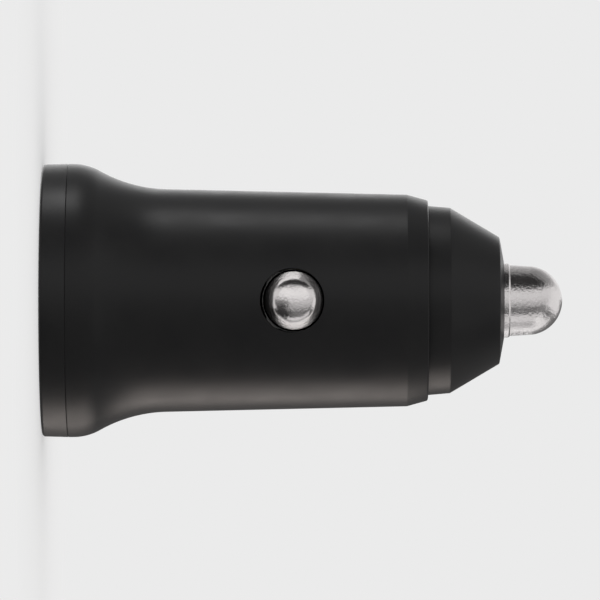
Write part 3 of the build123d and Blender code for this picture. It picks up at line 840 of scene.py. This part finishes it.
def shellMesh(port, plan, depth):
    # up the outside of the sheet, over its rounded lip and down the inside
    work = bmesh.new()
    sheet, lip, mouth = plan["sheet"], plan["lip"], plan["mouth"]
    back = mouth + depth
    lips = quarterTurn(edgeSteps)
    edge = [(0.0, back)]
    edge += [(-lip * inward, mouth + lip * up) for up, inward in lips]
    edge += [(lip * inward - sheet, mouth + lip * up) for inward, up in lips]
    edge.append((-sheet, back))
    loftRings(work, [portRing(port, offset, level) for offset, level in edge], closed=True)
    return work


tabPlan = {
    "width": 1.8, "aside": 3.1, "start": 1.6, "length": 4.8, "bow": {-1: 0.4, 1: 0.2}, "sheet": 0.2,
    "proud": 0.02, "steps": 12,
}


def addSpringTabs(work, port, plan, tab):
    # tabs that grip the plug, two on each wide wall, bowed inwards, less so behind the blade
    wall = port["height"] / 2 - plan["sheet"] - tab["proud"]
    half = tab["width"] / 2
    for side in (-1, 1):
        for aside in (-tab["aside"], tab["aside"]):
            rings = []
            for step in range(tab["steps"] + 1):
                share = step / tab["steps"]
                near = wall - tab["bow"][side] * math.sin(math.pi * share) ** 2
                far = near + tab["sheet"]
                z = plan["mouth"] + tab["start"] + tab["length"] * share
                rings.append([(port["middle"] + side * x, aside + y, z)
                              for x, y in ((near, -half), (near, half), (far, half), (far, -half))])
            made = loftRings(work, rings)
            work.faces.new(made[0])
            work.faces.new(made[-1])


largeShell = shellMesh(portPlan["large"], shellPlan, shellPlan["largeDepth"])
addSpringTabs(largeShell, portPlan["large"], shellPlan, tabPlan)
finishPiece("largePortShell", largeShell, metals["shellSteel"], ["usb_a_shell"])
smallShell = shellMesh(portPlan["small"], shellPlan, shellPlan["smallDepth"])
legSide = portPlan["small"]["width"] / 2
for side in (-1, 1):
    sides = sorted((side * legSide, side * (legSide - shellPlan["sheet"])))
    for z in (shellPlan["frontLeg"], shellPlan["backLeg"]):
        low = (portPlan["small"]["middle"], sides[0], z)
        addBlock(smallShell, low, (shellPlan["legEnd"], sides[1], z + shellPlan["legWidth"]))
finishPiece("smallPortShell", smallShell, metals["shellSteel"], ["usb_c_shell"])
print("port shells made")


# coil spring behind the pin, wound along a helix

springPlan = {
    "base": 35.0, "top": 44.6, "radius": 2.1, "wire": 0.6, "turns": 5.0, "travel": 2.6,
    "steps": 64, "sides": 20,
}


def buildWinding():
    tree, ins = newGroup(
        "windWire", "GeometryNodeTree",
        [("Seed", "Geometry"), ("Radius", "Float"), ("Height", "Float"), ("Turns", "Float"),
         ("Wire", "Float"), ("Steps", "Int"), ("Sides", "Int"), ("Base", "Vector"), ("Finish", "Material")],
        [("Wound", "Geometry")],
    )
    path = put(tree, "GeometryNodeCurveSpiral", {
        "Resolution": ins["Steps"], "Rotations": ins["Turns"], "Start Radius": ins["Radius"],
        "End Radius": ins["Radius"], "Height": ins["Height"]})
    section = put(tree, "GeometryNodeCurvePrimitiveCircle", {
        "Resolution": ins["Sides"], "Radius": sums(tree, "DIVIDE", ins["Wire"], 2.0)})
    wire = put(tree, "GeometryNodeCurveToMesh", {
        "Curve": path.outputs[0], "Profile Curve": section.outputs[0], "Fill Caps": True})
    placed = put(tree, "GeometryNodeSetPosition", {"Geometry": wire.outputs[0], "Offset": ins["Base"]})
    endTree(tree, "Wound", placed.outputs[0], ins["Finish"])
    return tree


windWire = buildWinding()
springLength = springPlan["top"] - springPlan["base"]
wound = startMesh(bakeTree("pinSpring", bpy.data.meshes.new("springSeed"), windWire, {
    "Radius": springPlan["radius"] * mm, "Turns": springPlan["turns"], "Wire": springPlan["wire"] * mm,
    "Height": (springLength - springPlan["wire"]) * mm, "Steps": springPlan["steps"],
    "Sides": springPlan["sides"], "Finish": metals["springSteel"],
    "Base": (0.0, 0.0, (springPlan["base"] + springPlan["wire"] / 2) * mm)}))
spring = finishPiece("pinSpring", wound, metals["springSteel"], ["pin_spring"])
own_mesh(spring)
print("spring wound")


# copper winding of the inductor, in layers round the core's post

windingPlan = {"layers": 3, "wire": 0.5, "varnish": 0.01, "steps": 32, "sides": 10}


def windInductor(plan):
    low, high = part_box("inductor_coil")
    wire = plan["wire"] * mm
    length = high[0] - low[0]
    outer = (high[1] - low[1]) / 2
    work = startMesh()
    for layer in range(plan["layers"]):
        work.from_mesh(bakeTree("layer", bpy.data.meshes.new("layerSeed"), windWire, {
            "Radius": outer - wire * (layer + 0.5), "Turns": round(length / wire) - 1.0,
            "Height": length - wire, "Wire": wire - plan["varnish"] * mm, "Steps": plan["steps"],
            "Sides": plan["sides"], "Base": (0.0, 0.0, wire / 2), "Finish": metals["coilCopper"]}))
    place = Matrix.Translation((low[0], 0, (low[2] + high[2]) / 2))
    work.transform(place @ Matrix.Rotation(math.radians(90), 4, "Y"))
    return work


winding = windInductor(windingPlan)
finishPiece("inductorWinding", winding, metals["coilCopper"], ["inductor_coil"])
print("inductor wound")


# finishes on the solids that stay as they are

tracePlan = {
    "runs": 420.0, "patches": 230.0, "scatter": 0.6, "width": 0.62, "share": 0.4,
    "colour": (0.022, 0.16, 0.06),
}
canPlan = {"rim": 2.5, "stripe": 2.3, "lip": 0.1, "pale": (0.5, 0.51, 0.52), "bare": (0.58, 0.59, 0.61)}
tin = (0.6, 0.6, 0.61)
# axis of the leads or end caps, how much of the length between them is bare body, and the full length of
# one component where two stand in a row
tinnedPlan = {
    "controller_chip": {"axis": "Y", "body": 3.94, "finish": epoxyFinish},
    "rectifier_diode": {"axis": "Z", "body": 4.34, "finish": epoxyFinish},
    "chip_resistors": {"axis": "Z", "body": 1.2, "finish": epoxyFinish},
    "ceramic_capacitors": {"axis": "Z", "body": 2.2, "length": 3.2, "finish": ceramicFinish},
    "input_fuse": {"axis": "Y", "body": 2.1, "finish": fuseFinish},
}


def layTraces(material, plan):
    # copper runs that show through the board's lacquer, in patches
    tree = material.node_tree
    place = tree.nodes["Texture Coordinate"].outputs["Object"]
    runs = put(tree, "ShaderNodeTexWave", {"Vector": place, "Scale": plan["runs"]}, bands_direction="Y")
    patches = put(tree, "ShaderNodeTexVoronoi", {
        "Vector": place, "Scale": plan["patches"], "Randomness": plan["scatter"]}, distance="CHEBYCHEV")
    patch = put(tree, "ShaderNodeSeparateColor", {0: patches.outputs["Color"]}).outputs[0]
    patch = sums(tree, "GREATER_THAN", patch, plan["share"])
    run = sums(tree, "GREATER_THAN", runs.outputs["Fac"], plan["width"])
    layColour(material, sums(tree, "MULTIPLY", run, patch), plan["colour"])


def fromMiddle(tree, node):
    # place on a solid, measured from the middle of its box
    middle = (Vector(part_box(node)[0]) + Vector(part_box(node)[1])) / 2
    return vectors(tree, "SUBTRACT", tree.nodes["Texture Coordinate"].outputs["Object"], middle)


def sleevedCan(node, plan):
    # shrunk sleeve with a pale stripe, open over the can's metal end
    material = mouldedPlastic(node + "Sleeve", sleeveFinish)
    tree = material.node_tree
    place = fromMiddle(tree, node)
    axes = put(tree, "ShaderNodeSeparateXYZ", {0: place}).outputs
    reach = vectors(tree, "LENGTH", vectors(tree, "MULTIPLY", place, (0.0, 1.0, 1.0)))
    end = (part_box(node)[1][0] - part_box(node)[0][0]) / 2 - plan["lip"] * mm
    bare = sums(tree, "MULTIPLY", sums(tree, "GREATER_THAN", axes["X"], end),
                sums(tree, "LESS_THAN", reach, plan["rim"] * mm))
    layColour(material, sums(tree, "GREATER_THAN", axes["Y"], plan["stripe"] * mm), plan["pale"])
    layMetal(material, bare, plan["bare"])
    return material


def tinnedEnds(node, plan):
    # tinned leads or end caps on both ends of a small component
    material = mouldedPlastic(node + "Tinned", plan["finish"])
    tree = material.node_tree
    along = put(tree, "ShaderNodeSeparateXYZ", {0: fromMiddle(tree, node)}).outputs[plan["axis"]]
    away = sums(tree, "ABSOLUTE", along)
    if "length" in plan:
        spacing = (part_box(node)[1][2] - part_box(node)[0][2] - plan["length"] * mm) / 2
        away = sums(tree, "ABSOLUTE", sums(tree, "SUBTRACT", away, spacing))
    ends = sums(tree, "GREATER_THAN", away, plan["body"] / 2 * mm)
    layMetal(material, ends, tin)
    return material


layTraces(boardGreen, tracePlan)
keptFinishes = {
    "pin_terminal": metals["stampedBrass"], "main_board": boardGreen, "protocol_chip": chipEpoxy,
    "usb_a_tongue": portBlack, "usb_a_contacts": metals["goldFlash"], "usb_c_tongue": portBlack,
    "usb_c_contacts": metals["goldFlash"], "inductor_core": ferriteGrey,
    **{node: sleevedCan(node, canPlan) for node in ("output_capacitor", "input_capacitor")},
    **{node: tinnedEnds(node, plan) for node, plan in tinnedPlan.items()},
}
for name, finish in keptFinishes.items():
    mesh = nodes[name].data
    mesh.materials.clear()
    mesh.materials.append(finish)
print("solids finished:", len(keptFinishes))


# floor, background, lamps and camera

stagePlan = {
    "pale": 0.831, "fill": 0.8, "floorColour": 0.93, "floorSize": 3.0,
    "shadowShare": 0.6, "shadowNear": 0.014, "shadowFar": 0.07,
}


def floorFinish(plan):
    # pale to the camera, with the object's shadow close to it; reflections look through to the room
    material = bpy.data.materials.new("paleFloor")
    material.use_nodes = True
    tree = material.node_tree
    tree.nodes.clear()
    matt = put(tree, "ShaderNodeBsdfDiffuse", {"Color": (plan["floorColour"],) * 3 + (1.0,)})
    glow = put(tree, "ShaderNodeEmission", {"Color": (plan["pale"],) * 3 + (1.0,)})
    clear = put(tree, "ShaderNodeBsdfTransparent")
    path = put(tree, "ShaderNodeLightPath").outputs
    place = put(tree, "ShaderNodeTexCoord").outputs["Object"]
    away = vectors(tree, "LENGTH", place)
    share = remap(tree, away, plan["shadowNear"], plan["shadowFar"], 1.0 - plan["shadowShare"], 1.0)
    seen = sums(tree, "MULTIPLY", path["Is Camera Ray"], share)
    lit = put(tree, "ShaderNodeMixShader", {0: seen, 1: matt.outputs[0], 2: glow.outputs[0]})
    under = put(tree, "ShaderNodeNewGeometry").outputs["Backfacing"]
    through = sums(tree, "MAXIMUM", path["Is Glossy Ray"], path["Is Shadow Ray"])
    through = sums(tree, "MAXIMUM", through, under)
    whole = put(tree, "ShaderNodeMixShader", {0: through, 1: lit.outputs[0], 2: clear.outputs[0]})
    put(tree, "ShaderNodeOutputMaterial", {"Surface": whole.outputs[0]})
    return material


half = stagePlan["floorSize"] / 2
floorMesh = bpy.data.meshes.new("floor")
floorCorners = [(-half, -half, 0), (half, -half, 0), (half, half, 0), (-half, half, 0)]
floorMesh.from_pydata(floorCorners, [], [(0, 1, 2, 3)])
floorMesh.materials.append(floorFinish(stagePlan))
floor = addObject("floor", floorMesh)
floor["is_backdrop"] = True


# what the room shows in reflections: height in the picture as degrees, negative towards its top and past 90
# behind the plug, and the brightness there
roomPlan = [
    (-180, 1.00), (-162, 0.90), (-146, 0.35), (-112, 0.30), (-94, 0.04), (-43, 0.03), (-32, 0.90),
    (-9, 0.88), (3, 0.20), (17, 0.03), (45, 0.03), (85, 0.12), (110, 0.35), (125, 0.40), (140, 0.20),
    (180, 0.15),
]
# pale ends of the room along the plug's axis: sine of the slope where they begin and are full, how much later
# they begin in front, their brightness, and how much later by height in the picture, from -1 at its top to 1
endGlow = {
    "from": 0.66, "to": 0.77, "frontLag": 0.12, "bright": 1.02,
    "lag": [(-1.0, 0.4), (0.0, 0.1), (0.34, 0.0), (0.46, 0.35), (1.0, 0.4)],
}


def levelRamp(tree, value, low, high, stops):
    # grey levels at given places between low and high
    ramp = put(tree, "ShaderNodeValToRGB", {0: remap(tree, value, low, high, 0.0, 1.0)})
    marks = ramp.color_ramp.elements
    while len(marks) < len(stops):
        marks.new(0.5)
    for mark, (place, level) in zip(marks, stops):
        mark.position = (place - low) / (high - low)
        mark.color = (level, level, level, 1.0)
    return ramp.outputs["Color"]


def paleWorld(plan, room, glow):
    world = bpy.data.worlds.new("paleRoom")
    world.use_nodes = True
    scene.world = world
    tree = world.node_tree
    tree.nodes.clear()
    ray = put(tree, "ShaderNodeTexCoord").outputs["Generated"]
    way = put(tree, "ShaderNodeSeparateXYZ", {0: ray}).outputs
    level = sums(tree, "SQRT", sums(tree, "SUBTRACT", 1.0, sums(tree, "MULTIPLY", way["X"], way["X"])))
    facing = sums(tree, "SIGN", sums(tree, "MULTIPLY", way["Y"], -1.0))
    angle = sums(tree, "ARCTAN2", way["X"], sums(tree, "MULTIPLY", level, facing))
    bands = levelRamp(tree, sums(tree, "DEGREES", angle), -180, 180, room)
    lag = sums(tree, "ADD", sums(tree, "MULTIPLY", facing, glow["frontLag"]),
               levelRamp(tree, way["X"], -1, 1, glow["lag"]))
    slope = sums(tree, "SUBTRACT", sums(tree, "ABSOLUTE", way["Z"]), lag)
    ends = remap(tree, slope, glow["from"], glow["to"], 0.0, 1.0)
    shown = blend(tree, ends, bands, (glow["bright"],) * 3)
    path = put(tree, "ShaderNodeLightPath").outputs
    shown = blend(tree, path["Is Diffuse Ray"], shown, (plan["fill"],) * 3)
    shown = blend(tree, path["Is Camera Ray"], shown, (plan["pale"],) * 3)
    back = put(tree, "ShaderNodeBackground", {"Color": shown})
    put(tree, "ShaderNodeOutputWorld", {"Surface": back.outputs[0]})


paleWorld(stagePlan, roomPlan, endGlow)

# softboxes: degrees round the plug's axis from the camera's side, negative towards the top of the picture,
# half width in degrees, height and rise above the plug's middle in metres, brightness, and what they light
lampPlan = {
    "topSoftbox": (-93.0, 8.0, 0.17, -0.04, 6.6, "plastic"),
    "backSoftbox": (-160.0, 13.0, 0.6, 0.0, 1.3, "plastic"),
    "lowGlow": (116.0, 17.0, 0.24, 0.0, 3.35, "plastic"),
    "frontStrip": (9.0, 13.0, 0.9, 0.35, 0.5, "metal"),
    "sideFill": (62.0, 42.0, 0.8, 0.32, 0.14, "metal"),
    "gapFill": (89.0, 15.0, 0.8, 0.0, 0.25, "metal"),
    "sideStrip": (61.0, 14.0, 0.6, 0.16, 0.7, "metal"),
    "tipStrip": (84.0, 12.0, 0.24, 0.27, 0.65, "pin"),
    "lowStrip": (119.0, 16.0, 1.4, 0.0, 0.75, "domes"),
    "pinLow": (135.0, 30.0, 0.5, -0.2, 0.75, "pin"),
    "tipLow": (115.0, 12.0, 0.45, 0.27, 0.75, "pin"),
    "pinBack": (-122.0, 20.0, 0.5, -0.2, 0.2, "pin"),
    "pinTop": (-147.0, 18.0, 0.6, 0.0, 0.17, "pin"),
    "domeFront": (-17.0, 13.0, 0.6, 0.0, 0.25, "domes"),
    "domeTop": (-108.0, 16.0, 0.5, -0.15, 0.8, "domes"),
}
warmth = {"lowGlow": (1.0, 0.9, 0.84), "lowStrip": (1.0, 0.98, 0.96)}  # lamps that aren't white
lampAway = 0.4  # metres from the axis
plugMiddle = 24.0
domes = ("groundContactNear", "groundContactFar")
receivers = {
    "plastic": ("EXCLUDE", ("centrePin", *domes)), "metal": ("INCLUDE", ("centrePin", *domes)),
    "pin": ("INCLUDE", ("centrePin",)), "domes": ("INCLUDE", domes),
}


def groupReceivers(name, state, pieces):
    group = bpy.data.collections.new(name + "Lit")
    for piece in pieces:
        group.objects.link(bpy.data.objects[piece])
    for entry in group.collection_objects:
        entry.light_linking.link_state = state
    return group


def hangLamp(name, angle, spread, tall, rise, radiance, lit):
    lamp = bpy.data.lights.new(name, "AREA")
    lamp.shape = "RECTANGLE"
    lamp.size = 2 * lampAway * math.tan(math.radians(spread))
    lamp.size_y = tall
    lamp.color = warmth.get(name, (1.0, 1.0, 1.0))
    lamp.energy = radiance * math.pi * lamp.size * lamp.size_y
    item = addObject(name, lamp)
    turn = math.radians(angle)
    out = Vector((math.sin(turn), -math.cos(turn), 0.0))
    up = Vector((0.0, 0.0, 1.0))
    axes = Matrix((up.cross(out), up, out)).transposed().to_4x4()
    item.matrix_world = Matrix.Translation(out * lampAway + up * (plugMiddle * mm + rise)) @ axes
    item.light_linking.receiver_collection = litGroups[lit]


litGroups = {name: groupReceivers(name, *plan) for name, plan in receivers.items()}
for name, row in lampPlan.items():
    hangLamp(name, *row)

cameraPlan = {"away": 0.7, "aside": -0.0465, "height": 23.92, "lens": 451.6, "sensor": 36.0, "nearest": 0.01}
lens = bpy.data.cameras.new("camera")
lens.lens = cameraPlan["lens"]
lens.sensor_width = cameraPlan["sensor"]
lens.clip_start = cameraPlan["nearest"]
camera = addObject("camera", lens)
# right, up and back of the picture
axes = Matrix(((0, 0, 1), (-1, 0, 0), (0, -1, 0))).transposed().to_4x4()
camera.matrix_world = Matrix.Translation(
    (cameraPlan["aside"] * mm, -cameraPlan["away"], cameraPlan["height"] * mm)) @ axes
scene.camera = camera
scene.view_settings.view_transform = "Standard"
print("stage set")

low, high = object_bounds()
